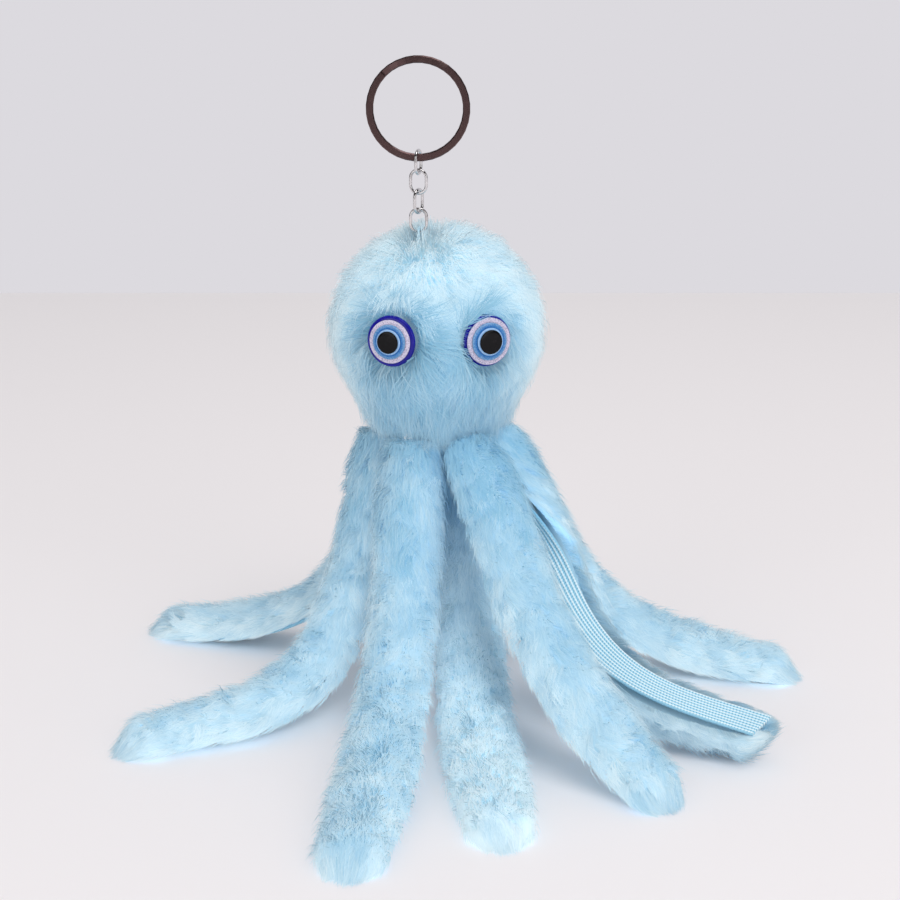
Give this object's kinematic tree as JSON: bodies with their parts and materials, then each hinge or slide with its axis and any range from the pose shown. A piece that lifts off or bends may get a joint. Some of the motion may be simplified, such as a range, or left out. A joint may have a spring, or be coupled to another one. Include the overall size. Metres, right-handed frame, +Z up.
{
  "type": "plush octopus key charm",
  "caption": "Soft fur octopus charm with a ball head, two bead eyes and limp fur legs, hung from a short chain and a split key ring.",
  "frame": {"origin": "top of the key ring's bore, where a hook, a bag's ring or a finger holds the charm up", "axes": "+Z up, -Y the way the eyes look, +X to the right as seen from the front"},
  "size_m": [0.1991, 0.2226, 0.1832],
  "materials": {
    "gunmetal": "satin",
    "bright_steel": "polished",
    "pale_blue_fur": "matte",
    "woven_tape": "matte",
    "blue_felt": "matte",
    "white_fibre": "matte",
    "blue_thread": "matte",
    "navy_resin": "gloss",
    "pearl_resin": "gloss",
    "sea_blue_resin": "gloss",
    "light_blue_resin": "gloss",
    "black_resin": "gloss",
    "clear_glue": "satin"
  },
  "bodies": {
    "key_ring": {"key_ring": "gunmetal"},
    "link_1": {"chain_link_1": "bright_steel"},
    "link_2": {"chain_link_2": "bright_steel"},
    "link_3": {"chain_link_3": "bright_steel"},
    "link_4": {"chain_link_4": "bright_steel"},
    "head": {"head_fur_cover": "pale_blue_fur", "stuffing_ball": "white_fibre", "hanging_loop": "blue_thread", "hanging_loop_knot": "blue_thread", "gathering_thread": "blue_thread", "leg_patch": "blue_felt", "left_eye_base": "navy_resin", "left_eye_white_ring": "pearl_resin", "left_eye_blue_ring": "sea_blue_resin", "left_eye_light_ring": "light_blue_resin", "left_eye_pupil": "black_resin", "left_eye_glue": "clear_glue", "right_eye_base": "navy_resin", "right_eye_white_ring": "pearl_resin", "right_eye_blue_ring": "sea_blue_resin", "right_eye_light_ring": "light_blue_resin", "right_eye_pupil": "black_resin", "right_eye_glue": "clear_glue"},
    "leg_front_left": {"leg_front_left_fur": "pale_blue_fur", "leg_front_left_tape": "woven_tape"},
    "leg_front_centre": {"leg_front_centre_fur": "pale_blue_fur", "leg_front_centre_tape": "woven_tape"},
    "leg_front_right": {"leg_front_right_fur": "pale_blue_fur", "leg_front_right_tape": "woven_tape"},
    "leg_right": {"leg_right_fur": "pale_blue_fur", "leg_right_tape": "woven_tape"},
    "leg_back_right": {"leg_back_right_fur": "pale_blue_fur", "leg_back_right_tape": "woven_tape"},
    "leg_back": {"leg_back_fur": "pale_blue_fur", "leg_back_tape": "woven_tape"},
    "leg_back_left": {"leg_back_left_fur": "pale_blue_fur", "leg_back_left_tape": "woven_tape"},
    "leg_left": {"leg_left_fur": "pale_blue_fur", "leg_left_tape": "woven_tape"}
  },
  "joints": [
    {"name": "link_1_swing", "type": "hinge", "parent": "key_ring", "child": "link_1", "pos_m": [0, 0, -0.0255], "axis": [1, 0, 0], "range_deg": [-35, 35]},
    {"name": "link_2_swing", "type": "hinge", "parent": "link_1", "child": "link_2", "pos_m": [0, 0, -0.02998], "axis": [0.309, 0.9511, 0], "range_deg": [-30, 30]},
    {"name": "link_3_swing", "type": "hinge", "parent": "link_2", "child": "link_3", "pos_m": [0, 0, -0.03533], "axis": [0.9781, -0.2079, 0], "range_deg": [-30, 30]},
    {"name": "link_4_swing", "type": "hinge", "parent": "link_3", "child": "link_4", "pos_m": [0, 0, -0.04068], "axis": [0.4695, 0.8829, 0], "range_deg": [-30, 30]},
    {"name": "head_swing", "type": "hinge", "parent": "link_4", "child": "head", "pos_m": [0, 0, -0.04603], "axis": [1, 0, 0], "range_deg": [-30, 30]},
    {"name": "leg_front_left_lift", "type": "hinge", "parent": "head", "child": "leg_front_left", "pos_m": [-0.00261, -0.00831, -0.10376], "axis": [-0.9929, 0.1193, 0], "range_deg": [-6, 25]},
    {"name": "leg_front_centre_lift", "type": "hinge", "parent": "head", "child": "leg_front_centre", "pos_m": [0.01282, 0.0059, -0.10376], "axis": [-0.9968, -0.0794, 0], "range_deg": [-8, 2]},
    {"name": "leg_front_right_lift", "type": "hinge", "parent": "head", "child": "leg_front_right", "pos_m": [0.01427, -0.00743, -0.10376], "axis": [-0.8348, -0.5506, 0], "range_deg": [-6, 25]},
    {"name": "leg_right_lift", "type": "hinge", "parent": "head", "child": "leg_right", "pos_m": [0.02267, 0.00456, -0.10376], "axis": [-0.6533, -0.7571, 0], "range_deg": [-6, 25]},
    {"name": "leg_back_right_lift", "type": "hinge", "parent": "head", "child": "leg_back_right", "pos_m": [0.01889, 0.01945, -0.10376], "axis": [-0.1488, -0.9889, 0], "range_deg": [-6, 25]},
    {"name": "leg_back_lift", "type": "hinge", "parent": "head", "child": "leg_back", "pos_m": [0.00626, 0.02596, -0.10376], "axis": [0.9508, 0.3098, 0], "range_deg": [-6, 25]},
    {"name": "leg_back_left_lift", "type": "hinge", "parent": "head", "child": "leg_back_left", "pos_m": [-0.00918, 0.01908, -0.10376], "axis": [0.3354, 0.9421, 0], "range_deg": [-6, 25]},
    {"name": "leg_left_lift", "type": "hinge", "parent": "head", "child": "leg_left", "pos_m": [-0.01261, 0.00426, -0.10376], "axis": [-0.6237, 0.7817, 0], "range_deg": [-6, 25]}
  ]
}
